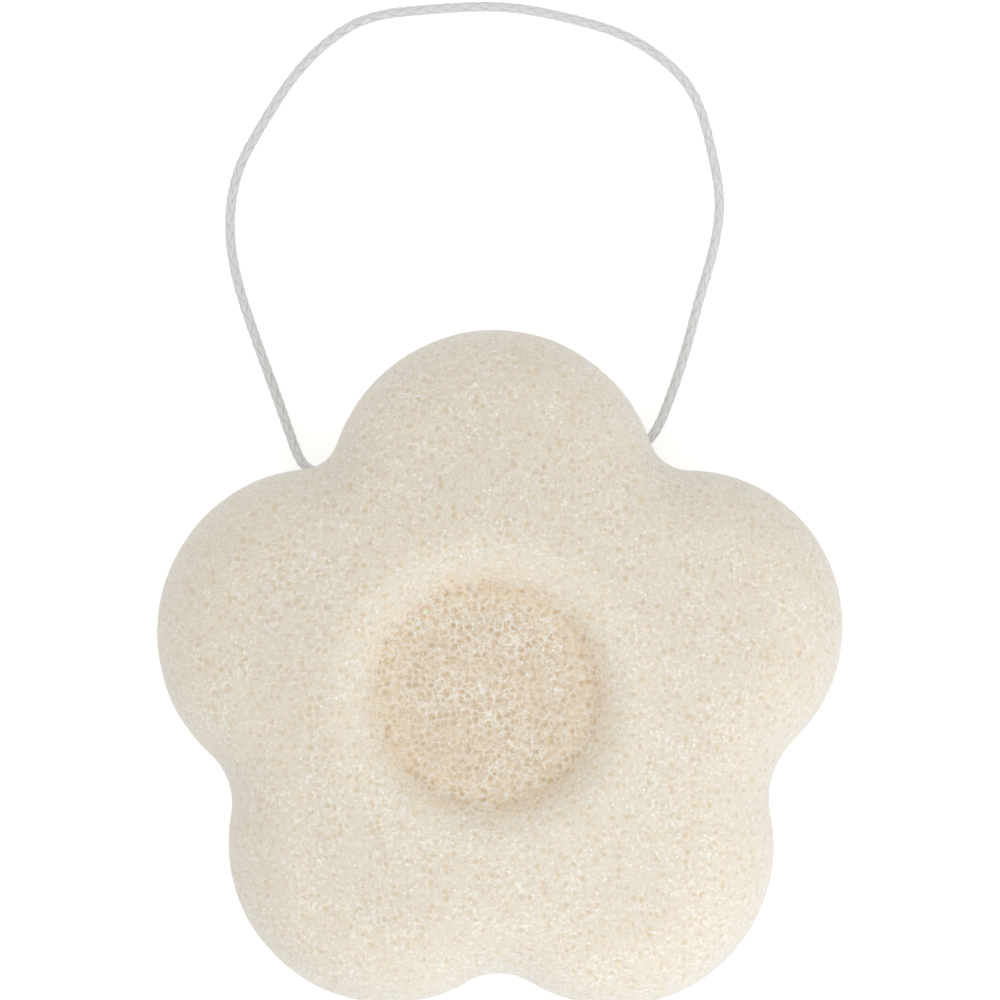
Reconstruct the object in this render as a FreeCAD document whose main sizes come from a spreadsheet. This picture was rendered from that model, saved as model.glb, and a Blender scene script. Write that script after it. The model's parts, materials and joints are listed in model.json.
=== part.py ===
"""Five-petal konjac face sponge with a hanging cord, in millimetres.

The foam lies on its flat back, z = 0, with the flower's centre at the origin. The hollow in its face looks up
and the top petal points along +Y. One cord is threaded through the neck of the top petal, closed by a knot
inside the foam, and its free loop lies beyond that petal on the surface that carries the sponge.
"""
import FreeCAD
import Part
import Sketcher
import math
import os

# Driving dimensions: lengths in millimetres, leans in degrees.
SIZES = {
    # Flower outline at the foam's widest level: a petal is an arc, a notch is the arc between two petals.
    "petal_reach": 22.4,
    "petal_radius": 18.8,
    "notch_radius": 6.5,
    # Sides and crowned face.
    "body_height": 28.0,
    "crown_radius": 200.0,
    "back_rounding": 12.5,
    "face_rounding": 10.0,
    # Round hollow in the face.
    "hollow_floor_radius": 11.9,
    "hollow_depth": 5.2,
    "hollow_corner_radius": 1.2,
    "hollow_lip_radius": 5.0,
    "hollow_wall_lean": 35.0,
    "hollow_shift_x": -1.5,
    "hollow_shift_y": -0.6,
    # Straight channel that the cord is threaded through, and the pocket that the knot is drawn into.
    "channel_shift": -1.5,
    "channel_reach": 26.6,
    "channel_height": 4.0,
    "channel_lean": 5.0,
    "channel_clearance": 0.05,
    "knot_clearance": 0.1,
    # Cord and knot.
    "cord_diameter": 1.1,
    "cord_lift": 0.05,
    "mouth_gap": 0.1,
    "exit_run": 1.8,
    "knot_diameter": 3.4,
    "knot_length": 4.4,
    # How far every cut runs past what it cuts.
    "overrun": 4.0,
}

# Petals counted anticlockwise from the top one. The foam is soft and each petal came out a little different:
# its turn from an even spacing in degrees, and its reach and radius as shares of the driving sizes.
FIRST_PETAL_ANGLE = 90
PETAL_TURNS = (1.8, 1.2, 0.5, -0.4, -0.1)
PETAL_REACH_SHARES = (1.0, 0.97, 1.0, 1.02, 1.03)
PETAL_RADIUS_SHARES = (1.02, 1.02, 0.99, 0.99, 0.96)
NOTCH_RADIUS_SHARES = (0.70, 1.15, 1.05, 1.50, 0.75)
PETAL_COUNT = len(PETAL_TURNS)

# Most that a rounding may take of the rim's height, of a petal's radius, and of the face beside the hollow.
BACK_ROUNDING_SHARE = 0.54
FACE_ROUNDING_SHARE = 0.45
PETAL_ROUNDING_SHARE = 0.68
LAND_ROUNDING_SHARE = 0.9

# Free loop from the left mouth to the right one: x, y, and the height above the cord's rest on the surface.
CORD_ROUTE = (
    (-23.6, 26.0, 2.8),
    (-24.9, 29.3, 1.4),
    (-26.6, 34.1, 0.3),
    (-29.1, 40.9, 0.0),
    (-31.6, 48.4, 0.0),
    (-32.4, 54.9, 0.0),
    (-31.4, 61.1, 0.0),
    (-28.2, 66.8, 0.0),
    (-24.6, 72.4, 0.0),
    (-20.4, 76.7, 0.0),
    (-15.6, 79.5, 0.0),
    (-8.0, 80.3, 0.0),
    (0.4, 80.7, 0.0),
    (8.0, 79.3, 0.0),
    (15.2, 77.2, 0.0),
    (20.6, 73.5, 0.0),
    (23.6, 69.6, 0.0),
    (25.2, 63.8, 0.0),
    (26.4, 57.4, 0.0),
    (25.6, 51.8, 0.0),
    (23.8, 45.9, 0.0),
    (22.2, 39.6, 0.0),
    (20.5, 34.5, 0.8),
    (18.5, 29.6, 2.8),
)
ARC_SHARE = 0.45

# The sketcher's own numbers for a sketch's origin and axes, and for the points of a curve.
ORIGIN_INDICES = (-1, 1)
H_AXIS_INDEX = -1
V_AXIS_INDEX = -2
START_INDEX = 1
END_INDEX = 2
CENTRE_INDEX = 3
FULL_TURN = 360
RIGHT_ANGLE = 90


def vector(x, y, z=0):
    return FreeCAD.Vector(x, y, z)


def fill_sheet(doc):
    """Spreadsheet with one named cell for each driving dimension."""
    sheet = doc.addObject("Spreadsheet::Sheet", "Sizes")
    for name, value in SIZES.items():
        add_cell(sheet, name, value)
    doc.recompute()
    return sheet


def add_cell(sheet, name, value):
    row = len(sheet.getUsedCells()) // 2 + 1
    sheet.set(f"A{row}", name)
    sheet.set(f"B{row}", str(value))
    sheet.setAlias(f"B{row}", name)


def new_sketch(body, name, role, offset=FreeCAD.Placement()):
    """Sketch on one of the body's own origin planes."""
    sketch = body.newObject("Sketcher::SketchObject", name)
    planes = [feature for feature in body.Origin.OriginFeatures if feature.Role == role]
    sketch.AttachmentSupport = (planes[0], [""])
    sketch.MapMode = "FlatFace"
    sketch.AttachmentOffset = offset
    return sketch


def bind(sketch, kind, places, expression):
    """Adds a sized constraint whose value is tied to the sheet. An angle is given in degrees."""
    value = sketch.evalExpression(expression)
    if kind == "Angle":
        value = math.radians(value)
        expression = f"({expression}) * 1deg"
    index = sketch.addConstraint(Sketcher.Constraint(kind, *places, value))
    sketch.setExpression(f"Constraints[{index}]", expression)


def join_chain(sketch, ends):
    """Joins each pair of curve ends, smoothly or at a corner."""
    for kind, first, first_end, second, second_end in ends:
        sketch.addConstraint(Sketcher.Constraint(kind, first, first_end, second, second_end))


def arc(centre, radius, first_angle, last_angle):
    circle = Part.Circle(centre, vector(0, 0, 1), radius)
    if last_angle < first_angle:
        last_angle += math.radians(FULL_TURN)
    return Part.ArcOfCircle(circle, first_angle, last_angle)


def angle_to(start, end):
    return math.atan2(end.y - start.y, end.x - start.x)


def petal_angle(index):
    return FIRST_PETAL_ANGLE + index * FULL_TURN / PETAL_COUNT + PETAL_TURNS[index]


def petal_arcs(sheet):
    """Centre and radius of each petal's arc."""
    arcs = []
    for index in range(PETAL_COUNT):
        reach = sheet.petal_reach * PETAL_REACH_SHARES[index]
        turn = math.radians(petal_angle(index))
        centre = vector(reach * math.cos(turn), reach * math.sin(turn))
        arcs.append((centre, sheet.petal_radius * PETAL_RADIUS_SHARES[index]))
    return arcs


def notch_centre(petal, next_petal, radius):
    """Centre of the arc of that radius that touches two neighbouring petals from outside."""
    centre, petal_radius = petal
    next_centre, next_radius = next_petal
    reach = petal_radius + radius
    next_reach = next_radius + radius
    across = next_centre - centre
    along = (reach**2 - next_reach**2 + across.Length**2) / (2 * across.Length)
    out = math.sqrt(reach**2 - along**2)
    across.normalize()
    outward = vector(across.y, -across.x)
    return centre + across * along + outward * out


def notch_arcs(sheet, petals):
    """Centre and radius of the arc between each petal and the next."""
    arcs = []
    for index, share in enumerate(NOTCH_RADIUS_SHARES):
        radius = sheet.notch_radius * share
        next_petal = petals[(index + 1) % PETAL_COUNT]
        arcs.append((notch_centre(petals[index], next_petal, radius), radius))
    return arcs


def outline_sketch(body, sheet):
    """Closed flower outline: petal arcs joined smoothly by notch arcs."""
    sketch = new_sketch(body, "flower_outline", "XY_Plane")
    petals = petal_arcs(sheet)
    notches = notch_arcs(sheet, petals)
    following = [(index + 1) % PETAL_COUNT for index in range(PETAL_COUNT)]
    petal_ids = []
    notch_ids = []
    for i, (centre, radius) in enumerate(petals):
        notch, notch_radius = notches[i]
        first = angle_to(centre, notches[i - 1][0])
        last = angle_to(centre, notch)
        petal_ids.append(sketch.addGeometry(arc(centre, radius, first, last)))
        first = angle_to(notch, petals[following[i]][0])
        last = angle_to(notch, centre)
        notch_ids.append(sketch.addGeometry(arc(notch, notch_radius, first, last)))
    for i in range(PETAL_COUNT):
        join_chain(sketch, (
            ("Tangent", petal_ids[i], END_INDEX, notch_ids[i], END_INDEX),
            ("Tangent", notch_ids[i], START_INDEX, petal_ids[following[i]], START_INDEX),
        ))
    for i, (centre, _) in enumerate(petals):
        reach = f"Sizes.petal_reach * {PETAL_REACH_SHARES[i]}"
        for kind, place, wave in (("DistanceX", centre.x, "cos"), ("DistanceY", centre.y, "sin")):
            ends = (*ORIGIN_INDICES, petal_ids[i], CENTRE_INDEX)
            if place < 0:
                ends = (petal_ids[i], CENTRE_INDEX, *ORIGIN_INDICES)
            bind(sketch, kind, ends, f"abs({reach} * {wave}({petal_angle(i)}deg))")
        bind(sketch, "Radius", (petal_ids[i],), f"Sizes.petal_radius * {PETAL_RADIUS_SHARES[i]}")
        bind(sketch, "Radius", (notch_ids[i],), f"Sizes.notch_radius * {NOTCH_RADIUS_SHARES[i]}")
    return sketch


def face_sketch(body, sheet):
    """Half section of what is taken off the block's face: the hollow, its rounded lip and the crown."""
    # The sketch's own z points along -Y.
    offset = FreeCAD.Placement(vector(sheet.hollow_shift_x, 0, -sheet.hollow_shift_y), FreeCAD.Rotation())
    sketch = new_sketch(body, "face_section", "XZ_Plane", offset)
    sketch.setExpression("AttachmentOffset.Base.x", "Sizes.hollow_shift_x")
    sketch.setExpression("AttachmentOffset.Base.z", "-Sizes.hollow_shift_y")
    lean = math.radians(sheet.hollow_wall_lean)
    up_wall = vector(math.sin(lean), math.cos(lean))
    into_foam = vector(math.cos(lean), -math.sin(lean))
    floor_height = sheet.body_height - sheet.hollow_depth
    floor_start = vector(0, floor_height)
    floor_end = vector(sheet.hollow_floor_radius, floor_height)
    corner_centre = floor_end + vector(0, sheet.hollow_corner_radius)
    wall_start = corner_centre + into_foam * sheet.hollow_corner_radius
    # The lip's arc touches the wall and, from inside, the crown's arc.
    crown_centre = vector(0, sheet.body_height - sheet.crown_radius)
    lip_start = wall_start + into_foam * sheet.hollow_lip_radius
    lip_reach = sheet.crown_radius - sheet.hollow_lip_radius
    from_crown = lip_start - crown_centre
    along = from_crown.dot(up_wall)
    rise = math.sqrt(along**2 - from_crown.Length**2 + lip_reach**2) - along
    lip_centre = lip_start + up_wall * rise
    wall_end = wall_start + up_wall * rise
    crown_angle = angle_to(crown_centre, lip_centre)
    add_cell(sheet, "lip_reach", sheet.crown_radius * math.cos(crown_angle))
    outer_radius = sheet.petal_reach + sheet.petal_radius + sheet.overrun
    rim_angle = math.acos(outer_radius / sheet.crown_radius)
    rim_point = crown_centre + vector(math.cos(rim_angle), math.sin(rim_angle)) * sheet.crown_radius
    top = sheet.body_height + sheet.overrun
    floor = sketch.addGeometry(Part.LineSegment(floor_start, floor_end))
    corner = sketch.addGeometry(
        arc(corner_centre, sheet.hollow_corner_radius, -math.radians(RIGHT_ANGLE), -lean))
    wall = sketch.addGeometry(Part.LineSegment(wall_start, wall_end))
    lip = sketch.addGeometry(arc(lip_centre, sheet.hollow_lip_radius, crown_angle, math.pi - lean))
    crown = sketch.addGeometry(arc(crown_centre, sheet.crown_radius, rim_angle, crown_angle))
    side = sketch.addGeometry(Part.LineSegment(rim_point, vector(outer_radius, top)))
    roof = sketch.addGeometry(Part.LineSegment(vector(outer_radius, top), vector(0, top)))
    middle = sketch.addGeometry(Part.LineSegment(vector(0, top), floor_start))
    join_chain(sketch, (
        ("Tangent", floor, END_INDEX, corner, START_INDEX),
        ("Tangent", corner, END_INDEX, wall, START_INDEX),
        ("Tangent", wall, END_INDEX, lip, END_INDEX),
        ("Tangent", lip, START_INDEX, crown, END_INDEX),
        ("Coincident", crown, START_INDEX, side, START_INDEX),
        ("Coincident", side, END_INDEX, roof, START_INDEX),
        ("Coincident", roof, END_INDEX, middle, START_INDEX),
        ("Coincident", middle, END_INDEX, floor, START_INDEX),
    ))
    for kind, line in (("Horizontal", floor), ("Vertical", side), ("Horizontal", roof), ("Vertical", middle)):
        sketch.addConstraint(Sketcher.Constraint(kind, line))
    sketch.addConstraint(Sketcher.Constraint("PointOnObject", floor, START_INDEX, V_AXIS_INDEX))
    sketch.addConstraint(Sketcher.Constraint("PointOnObject", crown, CENTRE_INDEX, V_AXIS_INDEX))
    outer = "Sizes.petal_reach + Sizes.petal_radius + Sizes.overrun"
    bind(sketch, "DistanceY", (*ORIGIN_INDICES, floor, START_INDEX), "Sizes.body_height - Sizes.hollow_depth")
    bind(sketch, "DistanceX", (floor, START_INDEX, floor, END_INDEX), "Sizes.hollow_floor_radius")
    bind(sketch, "Radius", (corner,), "Sizes.hollow_corner_radius")
    bind(sketch, "Angle", (wall,), f"{RIGHT_ANGLE} - Sizes.hollow_wall_lean")
    bind(sketch, "Radius", (lip,), "Sizes.hollow_lip_radius")
    bind(sketch, "Radius", (crown,), "Sizes.crown_radius")
    crown_depth = "Sizes.crown_radius - Sizes.body_height"
    bind(sketch, "DistanceY", (crown, CENTRE_INDEX, *ORIGIN_INDICES), crown_depth)
    bind(sketch, "DistanceX", (*ORIGIN_INDICES, side, START_INDEX), outer)
    bind(sketch, "DistanceY", (*ORIGIN_INDICES, roof, START_INDEX), "Sizes.body_height + Sizes.overrun")
    return sketch


def rim_height(sheet):
    """Height of the crown's edge where the petals reach furthest."""
    reach = sheet.petal_reach + sheet.petal_radius
    drop = sheet.crown_radius - math.sqrt(sheet.crown_radius**2 - reach**2)
    return sheet.body_height - drop


def face_land(sheet):
    """Least width of the crowned face, between the hollow's lip and a notch of the flower's edge."""
    hollow = vector(sheet.hollow_shift_x, sheet.hollow_shift_y)
    notches = notch_arcs(sheet, petal_arcs(sheet))
    return min((centre - hollow).Length - radius for centre, radius in notches) - sheet.lip_reach


def rim_edges(shape, at_back):
    """Names of the edges that run round the flower's wall, at the flat back or at the crowned face."""
    names = []
    for number, edge in enumerate(shape.Edges, start=1):
        walls = shape.ancestorsOfType(edge, Part.Face)
        upright = [face for face in walls if face.Surface.TypeId == "Part::GeomCylinder"]
        low = edge.BoundBox.Center.z < shape.BoundBox.Center.z
        if len(upright) == 1 and low == at_back:
            names.append(f"Edge{number}")
    return names


def turned_cut(doc, body, name, sketch, axis):
    """Takes a full turn of the sketch off the body."""
    before = body.Shape.Volume
    groove = body.newObject("PartDesign::Groove", name)
    groove.Profile = sketch
    groove.ReferenceAxis = (sketch, [axis])
    groove.Angle = FULL_TURN
    doc.recompute()
    if body.Shape.Volume >= before:
        raise RuntimeError(f"{name} cuts nothing")
    return groove


def rounded_rim(doc, body, base, name, at_back, expression):
    """Rounds the whole edge of the back or of the face."""
    fillet = body.newObject("PartDesign::Fillet", name)
    fillet.Base = (base, rim_edges(base.Shape, at_back))
    fillet.setExpression("Radius", expression)
    doc.recompute()
    return fillet


def make_sponge(doc, sheet):
    """Foam flower: crowned block with a round hollow in its face and deeply rounded edges."""
    body = doc.addObject("PartDesign::Body", "sponge_body")
    block = body.newObject("PartDesign::Pad", "foam_block")
    block.Profile = outline_sketch(body, sheet)
    block.setExpression("Length", "Sizes.body_height")
    doc.recompute()
    face = turned_cut(doc, body, "crowned_face", face_sketch(body, sheet), "V_Axis")
    add_cell(sheet, "rim_height", rim_height(sheet))
    add_cell(sheet, "face_land", face_land(sheet))
    doc.recompute()
    petal_limit = f"Sizes.petal_radius * {PETAL_ROUNDING_SHARE}"
    back_limit = f"min(Sizes.rim_height * {BACK_ROUNDING_SHARE}; {petal_limit})"
    back = rounded_rim(doc, body, face, "rounded_back", True, f"min(Sizes.back_rounding; {back_limit})")
    land_limit = f"Sizes.face_land * {LAND_ROUNDING_SHARE}"
    face_limit = f"min(Sizes.rim_height * {FACE_ROUNDING_SHARE}; {petal_limit}; {land_limit})"
    rounded_rim(doc, body, back, "rounded_face", False, f"min(Sizes.face_rounding; {face_limit})")
    return body


def channel_place(sheet):
    """Frame of the channel: x along it towards the right, at the middle of the knot."""
    turn = FreeCAD.Rotation(vector(0, 0, 1), sheet.channel_lean)
    return FreeCAD.Placement(vector(sheet.channel_shift, sheet.channel_reach, sheet.channel_height), turn)


def add_mouths(doc, sheet, sponge):
    """Cells for how far from the knot the cord is clear of the foam, on each side."""
    reach = sheet.petal_reach + sheet.petal_radius
    cord = Part.makeCylinder(sheet.cord_diameter / 2, 2 * reach, vector(-reach, 0), vector(1, 0))
    foam = sponge.Shape.copy()
    foam.transformShape(channel_place(sheet).inverse().toMatrix())
    inside = cord.common(foam).BoundBox
    add_cell(sheet, "left_mouth", sheet.mouth_gap - inside.XMin)
    add_cell(sheet, "right_mouth", inside.XMax + sheet.mouth_gap)
    doc.recompute()


def rod_section(sketch, left, right, radius):
    """Half section of a plain rod along x, each size given as an expression."""
    left_end = -sketch.evalExpression(left)
    right_end = sketch.evalExpression(right)
    top = sketch.evalExpression(radius)
    corners = (vector(left_end, 0), vector(right_end, 0), vector(right_end, top), vector(left_end, top))
    axis, right_face, side, left_face = [
        sketch.addGeometry(Part.LineSegment(corners[i - 1], corners[i])) for i in (1, 2, 3, 0)]
    join_chain(sketch, (
        ("Coincident", axis, END_INDEX, right_face, START_INDEX),
        ("Coincident", right_face, END_INDEX, side, START_INDEX),
        ("Coincident", side, END_INDEX, left_face, START_INDEX),
        ("Coincident", left_face, END_INDEX, axis, START_INDEX),
    ))
    for line in (axis, side):
        sketch.addConstraint(Sketcher.Constraint("Horizontal", line))
    for line in (left_face, right_face):
        sketch.addConstraint(Sketcher.Constraint("Vertical", line))
    sketch.addConstraint(Sketcher.Constraint("PointOnObject", axis, START_INDEX, H_AXIS_INDEX))
    bind(sketch, "DistanceX", (axis, START_INDEX, *ORIGIN_INDICES), left)
    bind(sketch, "DistanceX", (*ORIGIN_INDICES, axis, END_INDEX), right)
    bind(sketch, "DistanceY", (right_face, START_INDEX, right_face, END_INDEX), radius)


def barrel_section(sketch, length, end_radius, middle_radius):
    """Half section of a barrel along x with flat ends, each size given as an expression."""
    rise = f"({middle_radius} - ({end_radius}))"
    bulge = f"(({length})^2 / 4 + {rise}^2) / (2 * {rise})"
    half_length = sketch.evalExpression(length) / 2
    end_height = sketch.evalExpression(end_radius)
    radius = sketch.evalExpression(bulge)
    centre = vector(0, sketch.evalExpression(middle_radius) - radius)
    left_rim = vector(-half_length, end_height)
    right_rim = vector(half_length, end_height)
    left_foot = vector(-half_length, 0)
    right_foot = vector(half_length, 0)
    swell = sketch.addGeometry(arc(centre, radius, angle_to(centre, right_rim), angle_to(centre, left_rim)))
    left_face = sketch.addGeometry(Part.LineSegment(left_rim, left_foot))
    axis = sketch.addGeometry(Part.LineSegment(left_foot, right_foot))
    right_face = sketch.addGeometry(Part.LineSegment(right_foot, right_rim))
    join_chain(sketch, (
        ("Coincident", swell, END_INDEX, left_face, START_INDEX),
        ("Coincident", left_face, END_INDEX, axis, START_INDEX),
        ("Coincident", axis, END_INDEX, right_face, START_INDEX),
        ("Coincident", right_face, END_INDEX, swell, START_INDEX),
    ))
    for kind, line in (("Vertical", left_face), ("Horizontal", axis), ("Vertical", right_face)):
        sketch.addConstraint(Sketcher.Constraint(kind, line))
    sketch.addConstraint(Sketcher.Constraint("Equal", left_face, right_face))
    sketch.addConstraint(Sketcher.Constraint("PointOnObject", axis, START_INDEX, H_AXIS_INDEX))
    sketch.addConstraint(Sketcher.Constraint("PointOnObject", swell, CENTRE_INDEX, V_AXIS_INDEX))
    bind(sketch, "DistanceX", (axis, START_INDEX, axis, END_INDEX), length)
    bind(sketch, "DistanceY", (right_face, START_INDEX, right_face, END_INDEX), end_radius)
    bind(sketch, "Radius", (swell,), bulge)


def cut_channel(doc, sheet, sponge):
    """Channel for the cord from notch to notch, and the pocket in its middle for the knot."""
    place = channel_place(sheet)
    channel_radius = "Sizes.cord_diameter / 2 + Sizes.channel_clearance"
    channel = new_sketch(sponge, "channel_section", "XY_Plane", place)
    rod_section(channel, "Sizes.left_mouth + Sizes.overrun", "Sizes.right_mouth + Sizes.overrun",
                channel_radius)
    pocket = new_sketch(sponge, "pocket_section", "XY_Plane", place)
    barrel_section(pocket, "Sizes.knot_length + 2 * Sizes.knot_clearance", channel_radius,
                   "Sizes.knot_diameter / 2 + Sizes.knot_clearance")
    for sketch in (channel, pocket):
        sketch.setExpression("AttachmentOffset.Base.x", "Sizes.channel_shift")
        sketch.setExpression("AttachmentOffset.Base.y", "Sizes.channel_reach")
        sketch.setExpression("AttachmentOffset.Base.z", "Sizes.channel_height")
        sketch.setExpression("AttachmentOffset.Rotation.Angle", "Sizes.channel_lean * 1deg")
    doc.recompute()
    turned_cut(doc, sponge, "cord_channel", channel, "H_Axis")
    turned_cut(doc, sponge, "knot_pocket", pocket, "H_Axis")


def make_knot(doc, sheet):
    """Closing knot as a barrel on the channel's axis, its ends cut off flush."""
    body = doc.addObject("PartDesign::Body", "closing_knot")
    section = new_sketch(body, "knot_section", "XY_Plane")
    barrel_section(section, "Sizes.knot_length", "Sizes.cord_diameter / 2", "Sizes.knot_diameter / 2")
    barrel = body.newObject("PartDesign::Revolution", "knot_barrel")
    barrel.Profile = section
    barrel.ReferenceAxis = (section, ["H_Axis"])
    barrel.Angle = FULL_TURN
    body.Placement = channel_place(sheet)
    return body


def make_threaded_cord(doc, sheet, side, direction):
    """Straight stretch of cord inside the foam, from the knot to just outside one mouth."""
    cord = doc.addObject("Part::Cylinder", f"threaded_cord_{side}")
    cord.setExpression("Radius", "Sizes.cord_diameter / 2")
    cord.setExpression("Height", f"Sizes.{side}_mouth - Sizes.knot_length / 2")
    along = FreeCAD.Rotation(vector(0, 0, 1), vector(direction, 0))
    start = FreeCAD.Placement(vector(direction * sheet.knot_length / 2, 0), along)
    cord.Placement = channel_place(sheet) * start
    return cord


def loop_points(sheet):
    """Corners of the free loop: out of the left mouth, round the chosen route, into the right one."""
    place = channel_place(sheet)
    rest_height = sheet.cord_diameter / 2 + sheet.cord_lift
    points = [place.multVec(vector(-sheet.left_mouth - run, 0)) for run in (0, sheet.exit_run)]
    points += [vector(x, y, rest_height + height) for x, y, height in CORD_ROUTE]
    points += [place.multVec(vector(sheet.right_mouth + run, 0)) for run in (sheet.exit_run, 0)]
    return points


def rounded_path(points):
    """Wire of straight runs joined by tangent arcs, each as large as its runs allow."""
    edges = []
    radii = []
    last = points[0]
    for before, corner, after in zip(points, points[1:], points[2:]):
        back = before - corner
        ahead = after - corner
        setback = ARC_SHARE * min(back.Length, ahead.Length)
        half_turn = (math.pi - back.getAngle(ahead)) / 2
        back.normalize()
        ahead.normalize()
        radius = setback / math.tan(half_turn)
        inward = (back + ahead).normalize()
        middle = corner + inward * (radius / math.cos(half_turn) - radius)
        first = corner + back * setback
        edges.append(Part.LineSegment(last, first).toShape())
        last = corner + ahead * setback
        edges.append(Part.Arc(first, middle, last).toShape())
        radii.append(radius)
    edges.append(Part.LineSegment(last, points[-1]).toShape())
    return Part.Wire(edges), radii


def make_loop(doc, sheet):
    """Free loop of cord as a tube of the cord's diameter along its route."""
    points = loop_points(sheet)
    path, radii = rounded_path(points)
    spine = doc.addObject("Part::Feature", "loop_path")
    spine.Shape = path
    section = doc.addObject("Part::Circle", "loop_section")
    section.setExpression("Radius", "Sizes.cord_diameter / 2")
    facing = FreeCAD.Rotation(vector(0, 0, 1), points[1] - points[0])
    section.Placement = FreeCAD.Placement(points[0], facing)
    loop = doc.addObject("Part::Sweep", "hanging_cord")
    loop.Sections = [section]
    loop.Spine = (spine, [f"Edge{number}" for number in range(1, len(path.Edges) + 1)])
    loop.Solid = True
    doc.recompute()
    plain_volume = math.pi * sheet.cord_diameter**2 / 4 * path.Length
    print("loop length", round(path.Length, 2), "tightest radius", round(min(radii), 2))
    print("loop radii", [round(radius, 1) for radius in radii])
    print("loop volume over section times length", round(loop.Shape.Volume / plain_volume, 5))
    return loop


def check_and_export(doc, parts):
    """Stops on any failed object, then writes one file for each sub-part."""
    doc.recompute()
    for item in doc.Objects:
        if "Invalid" in item.State or "Error" in item.State:
            raise RuntimeError(f"{item.Name} failed: {item.State}")
    for part in parts:
        part.Label = part.Name
        if part.Shape.isNull() or not part.Shape.isValid() or not part.Shape.Solids:
            raise RuntimeError(f"{part.Label} has no valid solid")
    os.makedirs("parts", exist_ok=True)
    for part in parts:
        part.Shape.exportStep(f"parts/{part.Label}.step")
        print(part.Label, len(part.Shape.Solids), "solid,", round(part.Shape.Volume, 2), "mm3")


def main():
    doc = FreeCAD.newDocument("konjac_sponge")
    sheet = fill_sheet(doc)
    sponge = make_sponge(doc, sheet)
    add_mouths(doc, sheet, sponge)
    cut_channel(doc, sheet, sponge)
    knot = make_knot(doc, sheet)
    left_cord = make_threaded_cord(doc, sheet, "left", -1)
    right_cord = make_threaded_cord(doc, sheet, "right", 1)
    loop = make_loop(doc, sheet)
    check_and_export(doc, [sponge, knot, left_cord, right_cord, loop])


main()
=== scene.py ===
import json
import math

import bmesh
import bpy
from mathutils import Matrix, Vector


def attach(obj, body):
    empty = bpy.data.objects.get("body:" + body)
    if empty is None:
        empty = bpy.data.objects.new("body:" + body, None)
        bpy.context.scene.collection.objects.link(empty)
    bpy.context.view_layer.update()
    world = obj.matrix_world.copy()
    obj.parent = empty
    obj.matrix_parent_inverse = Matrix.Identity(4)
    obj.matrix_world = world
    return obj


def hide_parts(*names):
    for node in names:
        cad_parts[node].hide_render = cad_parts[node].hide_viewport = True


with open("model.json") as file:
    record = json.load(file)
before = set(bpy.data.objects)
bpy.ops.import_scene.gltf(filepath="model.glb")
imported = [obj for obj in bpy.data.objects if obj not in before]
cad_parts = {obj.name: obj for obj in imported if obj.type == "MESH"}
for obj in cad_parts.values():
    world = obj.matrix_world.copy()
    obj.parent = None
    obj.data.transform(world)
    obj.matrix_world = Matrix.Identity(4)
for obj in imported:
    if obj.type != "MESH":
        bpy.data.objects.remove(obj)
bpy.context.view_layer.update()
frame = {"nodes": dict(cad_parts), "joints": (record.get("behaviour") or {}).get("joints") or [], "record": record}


# Sponge: one moulded block of konjac foam, a five-petal flower with a round hollow pressed into its face.
# The root's flour is set to a jelly, frozen and thawed, which leaves a soft open network of fine cells.
# The block keeps its solid's form, and pores, fibres and a slight unevenness are worked into its surface.

FOAM_GRAIN = 0.00019
MERGE_DISTANCE = 1e-7
NOISE_MIDDLE = 0.5

# Pores of two sizes. Their rims and the walls between them are given in shares of a cell.
LARGE_CELL = 0.00086
SMALL_CELL = 0.00050
SMALL_CELL_SHARE = 0.7
PORE_RIM = (0.22, 0.62)
LEAST_PORE = 0.3
PORE_DEPTH = 0.00028
SKIN_DEPTH_SHARE = 0.5
SKIN_PORE_RANGE = (0.25, 0.9)
WALL_MIDDLE = 0.02
SKIN_WALL = 0.20
OPEN_WALL = 0.14
DRIFT = 0.0002
DRIFT_SIZE = 0.0009

# Paler fibres, grain and wet glints, whose highlight is partly painted into the colour: their size, the range of a
# pattern that shows them, and how strongly.
FIBRE_SIZE = 0.00045
FIBRE_RANGE = (0.42, 0.68)
FIBRE_SHARE = 0.78
MORE_OPEN_FIBRES = 0.10
FIBRE_BUMP = 0.35
FIBRE_RELIEF = 0.00012
PATCH_SIZE = 0.005
PATCH_RANGE = (0.35, 0.65)
PATCH_SHARES = (0.65, 1.25)
GRAIN_SIZE = 0.00024
GRAIN_RANGE = (0.5, 0.75)
GRAIN_SHARE = 0.4
GLINT_SPACING = 0.0012
GLINT_RIM = (0.06, 0.16)

# A soft unevenness of the whole block, which goes inwards only at the flat back.
UNEVENNESS = 0.0005
UNEVEN_SIZE = 0.016
BACK_EASE = 0.004

# The hollow's opened cells, with a ragged edge, and a ring of painted light that lightens the shade in its corner,
# from the hollow's middle.
OPEN_RADIUS = 0.0138
OPEN_FADE = 0.0016
RAGGED_SIZE = 0.0016
RAGGED_REACH = 0.004
CORNER_START = 0.0085
CORNER_FOOT = 0.0120
CORNER_END = 0.0152
FLOOR_BAND = 0.002

STRUT_COLOUR = (0.95, 0.91, 0.84)
SKIN_COLOUR = (0.790, 0.732, 0.622)
# The pore colours here: partly the foam's deeper, warmer tone inside the pores, partly painted shade in their
# depths.
SKIN_PORE_TONE_AND_SHADE = (0.752, 0.664, 0.518)
OPEN_COLOUR = (0.775, 0.668, 0.513)
OPEN_PORE_TONE_AND_SHADE = (0.705, 0.572, 0.397)
# Painted light: lifts the foam's colour in a ring at the hollow's corner, where shade falls.
CORNER_PAINTED_LIGHT = (1.11, 1.11, 1.075)
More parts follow.
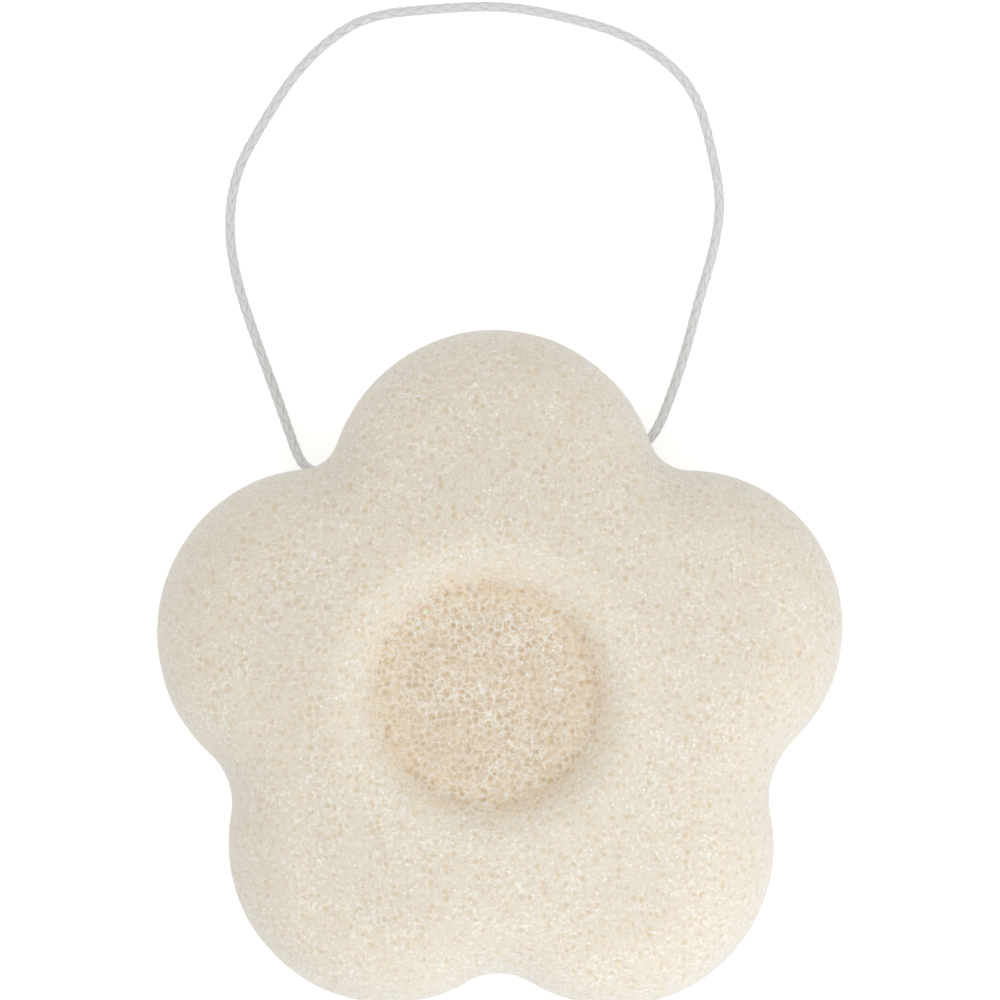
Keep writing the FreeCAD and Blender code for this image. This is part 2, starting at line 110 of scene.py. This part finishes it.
# Painted highlight: the near-white colour laid on the wet glints.
PAINTED_GLINT_HIGHLIGHT = (0.98, 0.97, 0.95)
FOAM_ROUGHNESS = 0.82
STRUT_GLOSS = 0.25
GLINT_GLOSS = 0.4
FOAM_SPECULAR = 0.4
FOAM_SOFTNESS = {
    "Subsurface Weight": 1.0,
    "Subsurface Radius": (1.0, 0.85, 0.65),
    "Subsurface Scale": 0.006,
    "Sheen Weight": 0.6,
    "Sheen Roughness": 0.5,
}


def add_node(tree, kind, inputs=None, **options):
    """Adds a node, sets its options, and joins or fills its inputs by name or by place."""
    made = tree.nodes.new(kind)
    for name, value in options.items():
        setattr(made, name, value)
    for key, value in (inputs or {}).items():
        if isinstance(value, bpy.types.NodeSocket):
            tree.links.new(value, made.inputs[key])
        else:
            made.inputs[key].default_value = value
    return made


def reckon(tree, operation, first, second=0.0):
    """One sum on numbers, as a node's result."""
    return add_node(tree, "ShaderNodeMath", {0: first, 1: second}, operation=operation).outputs[0]


def vector_sum(tree, operation, first, second):
    """One sum on vectors, as a node's result."""
    return add_node(tree, "ShaderNodeVectorMath", {0: first, 1: second}, operation=operation).outputs[0]


def scaled(tree, vector, factor):
    """A vector times a number."""
    inputs = {"Vector": vector, "Scale": factor}
    return add_node(tree, "ShaderNodeVectorMath", inputs, operation="SCALE").outputs[0]


def eased(tree, value, start, end, first=0.0, last=1.0):
    """Smooth step of a value between two limits."""
    limits = {"Value": value, "From Min": start, "From Max": end, "To Min": first, "To Max": last}
    return add_node(tree, "ShaderNodeMapRange", limits, interpolation_type="SMOOTHSTEP").outputs[0]


def blended(tree, factor, first, second, way="MIX"):
    """One colour laid over another as far as the factor says, each a node's result or three numbers."""
    ends = [end if isinstance(end, bpy.types.NodeSocket) else (*end, 1) for end in (first, second)]
    inputs = {"Factor": factor, 6: ends[0], 7: ends[1]}
    return add_node(tree, "ShaderNodeMix", inputs, data_type="RGBA", blend_type=way).outputs[2]


def speckle(tree, place, size, detail=2.0):
    """Soft noise of about that size, as the results of its node."""
    inputs = {"Vector": place, "Scale": 1 / size, "Detail": detail}
    return add_node(tree, "ShaderNodeTexNoise", inputs).outputs


def cell_pattern(tree, place, size, feature="F1"):
    """Cells of about that size, as the results of their node."""
    inputs = {"Vector": place, "Scale": 1 / size}
    return add_node(tree, "ShaderNodeTexVoronoi", inputs, feature=feature).outputs


def drifted(tree, place):
    """A place moved a little to and fro, so that cells laid out by it grow uneven."""
    drift = speckle(tree, place, DRIFT_SIZE, detail=1.0)["Color"]
    to_and_fro = vector_sum(tree, "SUBTRACT", drift, (NOISE_MIDDLE, NOISE_MIDDLE, NOISE_MIDDLE))
    return vector_sum(tree, "ADD", place, scaled(tree, to_and_fro, 2 * DRIFT))


def bubbles(tree, place, size):
    """Round pores of about that size, each of its own depth: 0 beside them, up to 1 in their middle."""
    bubble = cell_pattern(tree, place, size)
    chance = add_node(tree, "ShaderNodeSeparateXYZ", {0: bubble["Color"]}).outputs[0]
    return reckon(tree, "MULTIPLY", eased(tree, bubble["Distance"], *PORE_RIM, 1.0, 0.0),
                  eased(tree, chance, 0.0, 1.0, LEAST_PORE, 1.0))


def pores(tree, place):
    """The foam's pores at both sizes."""
    small = reckon(tree, "MULTIPLY", bubbles(tree, place, SMALL_CELL), SMALL_CELL_SHARE)
    return reckon(tree, "MAXIMUM", bubbles(tree, place, LARGE_CELL), small)


def walls(tree, place, size, width):
    """Thin walls between pores of that size: 1 along their middle, 0 beside them."""
    edge = cell_pattern(tree, place, size, "DISTANCE_TO_EDGE")["Distance"]
    return eased(tree, edge, WALL_MIDDLE, width, 1.0, 0.0)


def foam_material():
    """Translucent beige gel with paler fibres, darker pores that are partly painted shade, and a few wet glints
    that are partly a painted highlight.
    """
    material = bpy.data.materials.new("konjac_foam")
    material.use_nodes = True
    tree = material.node_tree
    shader = tree.nodes["Principled BSDF"]
    place = add_node(tree, "ShaderNodeAttribute", attribute_name="foam_place").outputs["Vector"]
    openness = add_node(tree, "ShaderNodeAttribute", attribute_name="openness").outputs["Fac"]
    moved = drifted(tree, place)
    pore = pores(tree, moved)
    # Darker pores: partly the foam's own deeper tone, partly painted shade in their depths.
    skin = blended(tree, eased(tree, pore, *SKIN_PORE_RANGE), SKIN_COLOUR, SKIN_PORE_TONE_AND_SHADE)
    opened = blended(tree, pore, OPEN_COLOUR, OPEN_PORE_TONE_AND_SHADE)
    # Painted light in the ring at the hollow's corner, multiplied into the foam's colour.
    painted_corner_light = add_node(tree, "ShaderNodeAttribute", attribute_name="painted_corner_light").outputs["Fac"]
    flesh_painted_shade_and_light = blended(tree, painted_corner_light, blended(tree, openness, skin, opened), CORNER_PAINTED_LIGHT, "MULTIPLY")
    width = eased(tree, openness, 0.0, 1.0, SKIN_WALL, OPEN_WALL)
    fine_wall = reckon(tree, "MULTIPLY", walls(tree, moved, SMALL_CELL, width), SMALL_CELL_SHARE)
    wall = reckon(tree, "MAXIMUM", walls(tree, moved, LARGE_CELL, width), fine_wall)
    more = reckon(tree, "MULTIPLY", openness, MORE_OPEN_FIBRES)
    fibre = reckon(tree, "ADD", speckle(tree, place, FIBRE_SIZE)[0], more)
    patch = eased(tree, speckle(tree, place, PATCH_SIZE)[0], *PATCH_RANGE, *PATCH_SHARES)
    shown = reckon(tree, "MULTIPLY", patch, eased(tree, fibre, *FIBRE_RANGE, 0.0, FIBRE_SHARE))
    strut = reckon(tree, "MULTIPLY", wall, shown)
    grain = eased(tree, speckle(tree, place, GRAIN_SIZE)[0], *GRAIN_RANGE, 0.0, GRAIN_SHARE)
    fibrous = blended(tree, reckon(tree, "MAXIMUM", strut, grain), flesh_painted_shade_and_light, STRUT_COLOUR)
    # Wet glints: a painted highlight in the colour, and a real one from lower roughness and more specular.
    glint = eased(tree, cell_pattern(tree, place, GLINT_SPACING)["Distance"], *GLINT_RIM, 1.0, 0.0)
    tree.links.new(blended(tree, glint, fibrous, PAINTED_GLINT_HIGHLIGHT), shader.inputs["Base Color"])
    relief = {"Height": strut, "Strength": FIBRE_BUMP, "Distance": FIBRE_RELIEF}
    tree.links.new(add_node(tree, "ShaderNodeBump", relief).outputs[0], shader.inputs["Normal"])
    gloss = reckon(tree, "ADD", reckon(tree, "MULTIPLY", strut, STRUT_GLOSS),
                   reckon(tree, "MULTIPLY", glint, GLINT_GLOSS))
    tree.links.new(reckon(tree, "SUBTRACT", FOAM_ROUGHNESS, gloss), shader.inputs["Roughness"])
    tree.links.new(eased(tree, glint, 0.0, 1.0, FOAM_SPECULAR, 1.0), shader.inputs["Specular IOR Level"])
    for title, value in FOAM_SOFTNESS.items():
        shader.inputs[title].default_value = value
    return material


def new_tree(name, values):
    """A tree of geometry nodes with named inputs: the geometry, each value and the material."""
    kinds = {int: "NodeSocketInt", float: "NodeSocketFloat", tuple: "NodeSocketVector"}
    tree = bpy.data.node_groups.new(name, "GeometryNodeTree")
    tree.interface.new_socket("Geometry", in_out="INPUT", socket_type="NodeSocketGeometry")
    for title, value in values.items():
        made = tree.interface.new_socket(title, in_out="INPUT", socket_type=kinds[type(value)])
        made.default_value = value
    tree.interface.new_socket("Material", in_out="INPUT", socket_type="NodeSocketMaterial")
    tree.interface.new_socket("Geometry", in_out="OUTPUT", socket_type="NodeSocketGeometry")
    return tree, add_node(tree, "NodeGroupInput").outputs


def stored(tree, geometry, name, value, kind):
    """Keeps a value on the geometry under a name that its material reads."""
    inputs = {"Geometry": geometry, "Name": name, "Value": value}
    return add_node(tree, "GeometryNodeStoreNamedAttribute", inputs, data_type=kind).outputs[0]


def close_tree(tree, geometry, material):
    """Ends a tree: what it made becomes plain geometry of one material."""
    real = add_node(tree, "GeometryNodeRealizeInstances", {"Geometry": geometry}).outputs[0]
    dressed = add_node(tree, "GeometryNodeSetMaterial", {"Geometry": real, "Material": material}).outputs[0]
    add_node(tree, "NodeGroupOutput", {0: dressed})


def worked(piece, tree, material):
    """Runs a tree of geometry nodes on a piece and leaves the piece a plain mesh."""
    modifier = piece.modifiers.new(tree.name, "NODES")
    modifier.node_group = tree
    values = {item.name: item for item in tree.interface.items_tree if item.in_out == "INPUT"}
    for title, item in values.items():
        if title not in ("Geometry", "Material"):
            modifier[item.identifier] = item.default_value
    modifier[values["Material"].identifier] = material
    bpy.context.view_layer.update()
    finished = piece.evaluated_get(bpy.context.evaluated_depsgraph_get())
    mesh = bpy.data.meshes.new_from_object(finished)
    piece.modifiers.clear()
    piece.data = mesh
    mesh.name = piece.name
    return piece


def cell_tree(hollow_floor):
    """Presses the foam's cells, which are deeper in the hollow, and a soft unevenness into a smooth block."""
    values = {"Pore Depth": PORE_DEPTH, "Unevenness": UNEVENNESS, "Hollow Floor": hollow_floor}
    tree, given = new_tree("open_cells", values)
    place = add_node(tree, "GeometryNodeInputPosition").outputs[0]
    from_floor = vector_sum(tree, "SUBTRACT", place, given["Hollow Floor"])
    flat = vector_sum(tree, "MULTIPLY", from_floor, (1, 1, 0))
    reach = add_node(tree, "ShaderNodeVectorMath", {0: flat}, operation="LENGTH").outputs["Value"]
    to_and_fro = reckon(tree, "SUBTRACT", speckle(tree, place, RAGGED_SIZE)[0], NOISE_MIDDLE)
    ragged = reckon(tree, "ADD", reach, reckon(tree, "MULTIPLY", to_and_fro, RAGGED_REACH))
    inside = eased(tree, ragged, OPEN_RADIUS - OPEN_FADE, OPEN_RADIUS + OPEN_FADE, 1.0, 0.0)
    # The ring at the hollow's corner that is given painted light against its shade.
    painted_corner_light = reckon(tree, "MULTIPLY", eased(tree, reach, CORNER_START, CORNER_FOOT),
                    eased(tree, ragged, CORNER_FOOT, CORNER_END, 1.0, 0.0))
    level = add_node(tree, "ShaderNodeSeparateXYZ", {0: from_floor}).outputs["Z"]
    above_floor = eased(tree, level, -2 * FLOOR_BAND, -FLOOR_BAND)
    openness = reckon(tree, "MULTIPLY", inside, above_floor)
    share = eased(tree, openness, 0.0, 1.0, SKIN_DEPTH_SHARE, 1.0)
    pore = reckon(tree, "MULTIPLY", pores(tree, drifted(tree, place)), share)
    depth = reckon(tree, "MULTIPLY", pore, given["Pore Depth"])
    swell = speckle(tree, place, UNEVEN_SIZE)[0]
    above_back = add_node(tree, "ShaderNodeSeparateXYZ", {0: place}).outputs["Z"]
    middle = eased(tree, above_back, 0.0, BACK_EASE, 0.0, NOISE_MIDDLE)
    sink = reckon(tree, "MULTIPLY", reckon(tree, "SUBTRACT", swell, middle), given["Unevenness"])
    outward = reckon(tree, "MULTIPLY", reckon(tree, "ADD", depth, sink), -1.0)
    move = scaled(tree, add_node(tree, "GeometryNodeInputNormal").outputs[0], outward)
    kept = stored(tree, given["Geometry"], "foam_place", place, "FLOAT_VECTOR")
    kept = stored(tree, kept, "openness", openness, "FLOAT")
    kept = stored(tree, kept, "painted_corner_light", reckon(tree, "MULTIPLY", painted_corner_light, above_floor), "FLOAT")
    pressed = add_node(tree, "GeometryNodeSetPosition", {"Geometry": kept, "Offset": move}).outputs[0]
    close_tree(tree, pressed, given["Material"])
    return tree


hollow_low, hollow_high = frame["record"]["physics"]["openings"][0]["box_m"]
hollow_floor = ((hollow_low[0] + hollow_high[0]) / 2, (hollow_low[1] + hollow_high[1]) / 2, hollow_low[2])
foam_block = bmesh.new()
foam_block.from_mesh(frame["nodes"]["sponge_body"].data)
bmesh.ops.remove_doubles(foam_block, verts=foam_block.verts, dist=MERGE_DISTANCE)
foam = bpy.data.objects.new("konjac_foam", bpy.data.meshes.new("konjac_foam"))
foam_block.to_mesh(foam.data)
foam_block.free()
bpy.context.scene.collection.objects.link(foam)
foam_grain = foam.modifiers.new("grain", "REMESH")
foam_grain.mode = "VOXEL"
foam_grain.voxel_size = FOAM_GRAIN
foam_grain.use_smooth_shade = True
worked(foam, cell_tree(hollow_floor), foam_material())
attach(foam, "foam")
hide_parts("sponge_body")


# Hanging cord: a thin white polyester cord, braided from eight flat yarns with a satin shine.
# Its free loop comes out of the foam in the notches beside the top petal and lies on the table.
# Each yarn winds round the loop's line, half of them one way and half the other, over one and under one.

MILLIMETRE = 0.001
YARN_COUNT = 8
YARN_WIDTH = 0.00074
YARN_THICKNESS = 0.00024
BRAID_RADIUS = 0.00041
WEAVE_LIFT = 0.00005
LAY_LENGTH = 0.0088
YARN_STEP = 0.00020
YARN_SIDES = 8
FILAMENTS_ACROSS = 26.0
FILAMENTS_ALONG = 900.0
FILAMENT_RANGE = (0.3, 0.7)
FILAMENT_BUMP = 0.4
FILAMENT_RELIEF = 0.00004
LINE_STEPS = 16
LINE_ORDER = 3

YARN_SHADE = (0.74, 0.74, 0.74)
YARN_LIGHT = (0.88, 0.88, 0.88)
YARN_ROUGHNESS = 0.36
YARN_SHEEN = 0.2

# The loop's route in millimetres: its mouths, its straight run out of each, then x, y and height above rest.
EXIT_RUN = 1.8
REST_HEIGHT = 0.60
LEFT_MOUTH = (-19.813, 24.998, 4.0)
RIGHT_MOUTH = (14.836, 28.029, 4.0)
LOOP_ROUTE = (
    (-23.6, 26.0, 2.8),
    (-24.9, 29.3, 1.4),
    (-26.6, 34.1, 0.3),
    (-29.1, 40.9, 0.0),
    (-31.6, 48.4, 0.0),
    (-32.4, 54.9, 0.0),
    (-31.4, 61.1, 0.0),
    (-28.2, 66.8, 0.0),
    (-24.6, 72.4, 0.0),
    (-20.4, 76.7, 0.0),
    (-15.6, 79.5, 0.0),
    (-8.0, 80.3, 0.0),
    (0.4, 80.7, 0.0),
    (8.0, 79.3, 0.0),
    (15.2, 77.2, 0.0),
    (20.6, 73.5, 0.0),
    (23.6, 69.6, 0.0),
    (25.2, 63.8, 0.0),
    (26.4, 57.4, 0.0),
    (25.6, 51.8, 0.0),
    (23.8, 45.9, 0.0),
    (22.2, 39.6, 0.0),
    (20.5, 34.5, 0.8),
    (18.5, 29.6, 2.8),
)


def cord_material():
    """White satin yarn, streaked along its filaments."""
    material = bpy.data.materials.new("braided_cord")
    material.use_nodes = True
    tree = material.node_tree
    shader = tree.nodes["Principled BSDF"]
    across = add_node(tree, "ShaderNodeAttribute", attribute_name="yarn_across").outputs["Fac"]
    along = add_node(tree, "ShaderNodeAttribute", attribute_name="yarn_along").outputs["Fac"]
    streaks = add_node(tree, "ShaderNodeCombineXYZ", {
        0: reckon(tree, "MULTIPLY", across, FILAMENTS_ACROSS),
        1: reckon(tree, "MULTIPLY", along, FILAMENTS_ALONG),
    }).outputs[0]
    filament = speckle(tree, streaks, 1.0)[0]
    colour = blended(tree, eased(tree, filament, *FILAMENT_RANGE), YARN_SHADE, YARN_LIGHT)
    tree.links.new(colour, shader.inputs["Base Color"])
    relief = {"Height": filament, "Strength": FILAMENT_BUMP, "Distance": FILAMENT_RELIEF}
    tree.links.new(add_node(tree, "ShaderNodeBump", relief).outputs[0], shader.inputs["Normal"])
    shader.inputs["Roughness"].default_value = YARN_ROUGHNESS
    shader.inputs["Sheen Weight"].default_value = YARN_SHEEN
    return material


def braid_tree():
    """Braids flat yarns round a line, each over one and under one of those that wind the other way."""
    values = {
        "Yarns": YARN_COUNT, "Yarn Width": YARN_WIDTH, "Yarn Thickness": YARN_THICKNESS,
        "Braid Radius": BRAID_RADIUS, "Weave Lift": WEAVE_LIFT, "Lay Length": LAY_LENGTH, "Step": YARN_STEP,
    }
    tree, given = new_tree("round_braid", values)
    line = add_node(tree, "GeometryNodeMeshToCurve", {0: given["Geometry"]}).outputs[0]
    stepped = {"Curve": line, "Length": given["Step"]}
    even = add_node(tree, "GeometryNodeResampleCurve", stepped, mode="LENGTH").outputs[0]
    repeated = {"Geometry": even, "Amount": given["Yarns"]}
    copies = add_node(tree, "GeometryNodeDuplicateElements", repeated, domain="SPLINE").outputs
    number = copies["Duplicate Index"]
    along = add_node(tree, "GeometryNodeSplineParameter").outputs["Length"]
    odd = reckon(tree, "MODULO", number, 2.0)
    hand = reckon(tree, "SUBTRACT", 1.0, reckon(tree, "MULTIPLY", odd, 2.0))
    pair = reckon(tree, "FLOOR", reckon(tree, "DIVIDE", number, 2.0))
    turn = reckon(tree, "MULTIPLY", reckon(tree, "DIVIDE", along, given["Lay Length"]), 2 * math.pi)
    spacing = reckon(tree, "DIVIDE", 4 * math.pi, given["Yarns"])
    angle = reckon(tree, "ADD", reckon(tree, "MULTIPLY", turn, hand), reckon(tree, "MULTIPLY", pair, spacing))
    half_count = reckon(tree, "DIVIDE", given["Yarns"], 2.0)
    weave = reckon(tree, "COSINE", reckon(tree, "MULTIPLY", turn, half_count))
    lift = reckon(tree, "MULTIPLY", reckon(tree, "MULTIPLY", weave, hand), given["Weave Lift"])
    radius = reckon(tree, "ADD", given["Braid Radius"], lift)
    upright = add_node(tree, "GeometryNodeInputNormal").outputs[0]
    tangent = add_node(tree, "GeometryNodeInputTangent").outputs[0]
    sideways = vector_sum(tree, "CROSS_PRODUCT", tangent, upright)
    outward = vector_sum(tree, "ADD", scaled(tree, upright, reckon(tree, "COSINE", angle)),
                         scaled(tree, sideways, reckon(tree, "SINE", angle)))
    held = add_node(tree, "GeometryNodeCaptureAttribute", domain="POINT")
    held.capture_items.new("VECTOR", "outward")
    held.capture_items.new("FLOAT", "along")
    tree.links.new(copies["Geometry"], held.inputs["Geometry"])
    tree.links.new(outward, held.inputs["outward"])
    tree.links.new(along, held.inputs["along"])
    winding = {"Geometry": held.outputs["Geometry"], "Offset": scaled(tree, held.outputs["outward"], radius)}
    wound = add_node(tree, "GeometryNodeSetPosition", winding).outputs[0]
    flat_side = {"Curve": wound, "Normal": held.outputs["outward"]}
    facing = add_node(tree, "GeometryNodeSetCurveNormal", flat_side, mode="FREE").outputs[0]
    circle = {"Resolution": YARN_SIDES, "Radius": 0.5}
    ring = add_node(tree, "GeometryNodeCurvePrimitiveCircle", circle).outputs[0]
    flatness = {0: given["Yarn Thickness"], 1: given["Yarn Width"], 2: 1.0}
    size = add_node(tree, "ShaderNodeCombineXYZ", flatness).outputs[0]
    section = add_node(tree, "GeometryNodeTransform", {"Geometry": ring, "Scale": size}).outputs[0]
    round_it = add_node(tree, "GeometryNodeCaptureAttribute", domain="POINT")
    round_it.capture_items.new("FLOAT", "across")
    across = add_node(tree, "GeometryNodeSplineParameter").outputs["Factor"]
    tree.links.new(section, round_it.inputs["Geometry"])
    tree.links.new(across, round_it.inputs["across"])
    swept = {"Curve": facing, "Profile Curve": round_it.outputs["Geometry"], "Fill Caps": True}
    yarns = add_node(tree, "GeometryNodeCurveToMesh", swept).outputs[0]
    smooth = add_node(tree, "GeometryNodeSetShadeSmooth", {"Geometry": yarns}).outputs[0]
    marked = stored(tree, smooth, "yarn_across", round_it.outputs["across"], "FLOAT")
    marked = stored(tree, marked, "yarn_along", held.outputs["along"], "FLOAT")
    close_tree(tree, marked, given["Material"])
    return tree


def smooth_line(name, points):
    """Points along one smooth spline that has these points, in millimetres, as its control points."""
    curve = bpy.data.curves.new(name, "CURVE")
    curve.dimensions = "3D"
    curve.resolution_u = LINE_STEPS
    spline = curve.splines.new("NURBS")
    spline.points.add(len(points) - 1)
    for control, point in zip(spline.points, points):
        control.co = (*(value * MILLIMETRE for value in point), 1)
    spline.order_u = min(LINE_ORDER, len(points))
    spline.use_endpoint_u = True
    holder = bpy.data.objects.new(name, curve)
    bpy.context.scene.collection.objects.link(holder)
    bpy.context.view_layer.update()
    line = bpy.data.meshes.new_from_object(holder.evaluated_get(bpy.context.evaluated_depsgraph_get()))
    bpy.data.objects.remove(holder)
    return line


def braided(name, line, node):
    """A stretch of braided cord along a line, in the place of one of the cord's solids."""
    piece = bpy.data.objects.new(name, line)
    bpy.context.scene.collection.objects.link(piece)
    worked(piece, cord_braid, cord_finish)
    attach(piece, "cord")
    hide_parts(node)
    return piece


cord_finish = cord_material()
cord_braid = braid_tree()
swing = frame["joints"][0]
cord_way = Vector(swing["axis"])
loop_route = [
    LEFT_MOUTH,
    tuple(Vector(LEFT_MOUTH) - cord_way * EXIT_RUN),
    *((x, y, REST_HEIGHT + height) for x, y, height in LOOP_ROUTE),
    tuple(Vector(RIGHT_MOUTH) + cord_way * EXIT_RUN),
    RIGHT_MOUTH,
]
loop_line = smooth_line("loop_line", loop_route)
loop = braided("hanging_loop", loop_line, "hanging_cord")


# Threaded cord: the two stretches of the same braid inside the foam, left and right of the knot.
# Each runs straight through the channel from the knot's end to its mouth, where the free loop goes on.

KNOT_END = 2.2

knot_middle = Vector(swing["pos_m"]) / MILLIMETRE
for side, mouth, way in (("left", LEFT_MOUTH, -1), ("right", RIGHT_MOUTH, 1)):
    knot_side = tuple(knot_middle + cord_way * way * KNOT_END)
    braided(f"threaded_{side}", smooth_line(f"line_{side}", [knot_side, mouth]), f"threaded_cord_{side}")


# Closing knot: the cord's two ends, each turned back round the other and drawn tight, in the foam's pocket.
# Both are bights of the same braid. One lies flat and the other upright, so that they hook into each other.

BIGHT = (
    (2.2, 0.0, 0.0),
    (1.2, 0.7, -0.3),
    (-0.6, 0.85, -0.25),
    (-1.4, 0.15, 0.0),
    (-0.6, -0.75, 0.25),
    (1.4, -0.75, 0.25),
)

upwards = Vector((0, 0, 1))
cord_side = upwards.cross(cord_way)
for side, way, first, second in (("left", -1, upwards, cord_side), ("right", 1, cord_side, upwards)):
    bend = [knot_middle + cord_way * way * along + first * out + second * up for along, out, up in BIGHT]
    braided(f"knot_{side}", smooth_line(f"bight_{side}", [tuple(point) for point in bend]), "closing_knot")


# Stage: a plain white table in a soft white room, with one round lamp above the lower right of the picture.
# The camera looks straight down at the face, with the flower low in the picture and the loop above it.
# To the camera and in reflections the table and the room are lifted to the photograph's pure white.

WHITE = (1, 1, 1)
TABLE_COLOUR = (0.86, 0.86, 0.86)
TABLE_ROUGHNESS = 0.9
TABLE_SPECULAR = 0.1
TABLE_LIFT = 0.50
TABLE_REACH = 3.0
ROOM_LIGHT = 0.79
ROOM_COLOUR = (1.0, 0.992, 0.98)
LAMP_PLACE = (0.068, -0.081, 0.132)
LAMP_TARGET = (0, 0, 0.015)
LAMP_SIZE = 0.16
LAMP_POWER = 0.070
LAMP_COLOUR = (0.97, 1.0, 1.06)

# The camera, in millimetres and pixels: its scale holds at the foam's middle height.
CAMERA_DISTANCE = 650
FOAM_MIDDLE = 13
PICTURE_CENTRE = 21.75
PIXELS_PER_MILLIMETRE = 8.55
PICTURE_SIDE = 1000
SENSOR_WIDTH = 36
NEAREST_SEEN = 10


def directly_seen(tree):
    """1 for what the camera sees or sees reflected, 0 for light on its way to another surface."""
    rays = add_node(tree, "ShaderNodeLightPath").outputs
    mirrored = reckon(tree, "MAXIMUM", rays["Is Glossy Ray"], rays["Is Transmission Ray"])
    return reckon(tree, "MAXIMUM", rays["Is Camera Ray"], mirrored)


table = bpy.data.objects.new("table", bpy.data.meshes.new("table"))
corners = [(x * TABLE_REACH, y * TABLE_REACH, 0) for x, y in ((-1, -1), (1, -1), (1, 1), (-1, 1))]
table.data.from_pydata(corners, [], [(0, 1, 2, 3)])
bpy.context.scene.collection.objects.link(table)
table_finish = bpy.data.materials.new("white_table")
table_finish.use_nodes = True
table_tree = table_finish.node_tree
table_shader = table_tree.nodes["Principled BSDF"]
table_shader.inputs["Base Color"].default_value = (*TABLE_COLOUR, 1)
table_shader.inputs["Roughness"].default_value = TABLE_ROUGHNESS
table_shader.inputs["Specular IOR Level"].default_value = TABLE_SPECULAR
table_shader.inputs["Emission Color"].default_value = (*WHITE, 1)
table_glow = reckon(table_tree, "MULTIPLY", directly_seen(table_tree), TABLE_LIFT)
table_tree.links.new(table_glow, table_shader.inputs["Emission Strength"])
table.data.materials.append(table_finish)

room = bpy.data.worlds.new("soft_room")
room.use_nodes = True
room_tree = room.node_tree
room_glow = room_tree.nodes["Background"]
room_seen = directly_seen(room_tree)
room_tree.links.new(blended(room_tree, room_seen, ROOM_COLOUR, WHITE), room_glow.inputs["Color"])
room_strength = eased(room_tree, room_seen, 0.0, 1.0, ROOM_LIGHT, 1.0)
room_tree.links.new(room_strength, room_glow.inputs["Strength"])
bpy.context.scene.world = room

lamp = bpy.data.lights.new("lamp", "AREA")
lamp.shape = "DISK"
lamp.size = LAMP_SIZE
lamp.energy = LAMP_POWER
lamp.color = LAMP_COLOUR
lamp_stand = bpy.data.objects.new("lamp", lamp)
lamp_stand.location = LAMP_PLACE
lamp_stand.rotation_euler = (Vector(LAMP_TARGET) - Vector(LAMP_PLACE)).to_track_quat("-Z", "Y").to_euler()
lamp_stand.visible_camera = False
bpy.context.scene.collection.objects.link(lamp_stand)

camera = bpy.data.cameras.new("camera")
camera.sensor_width = SENSOR_WIDTH
camera.lens = SENSOR_WIDTH * PIXELS_PER_MILLIMETRE * CAMERA_DISTANCE / PICTURE_SIDE
camera.clip_start = NEAREST_SEEN * MILLIMETRE
camera_stand = bpy.data.objects.new("camera", camera)
camera_height = CAMERA_DISTANCE + FOAM_MIDDLE
camera_stand.location = (0, PICTURE_CENTRE * MILLIMETRE, camera_height * MILLIMETRE)
bpy.context.scene.collection.objects.link(camera_stand)
bpy.context.scene.camera = camera_stand
bpy.context.scene.view_settings.view_transform = "Standard"
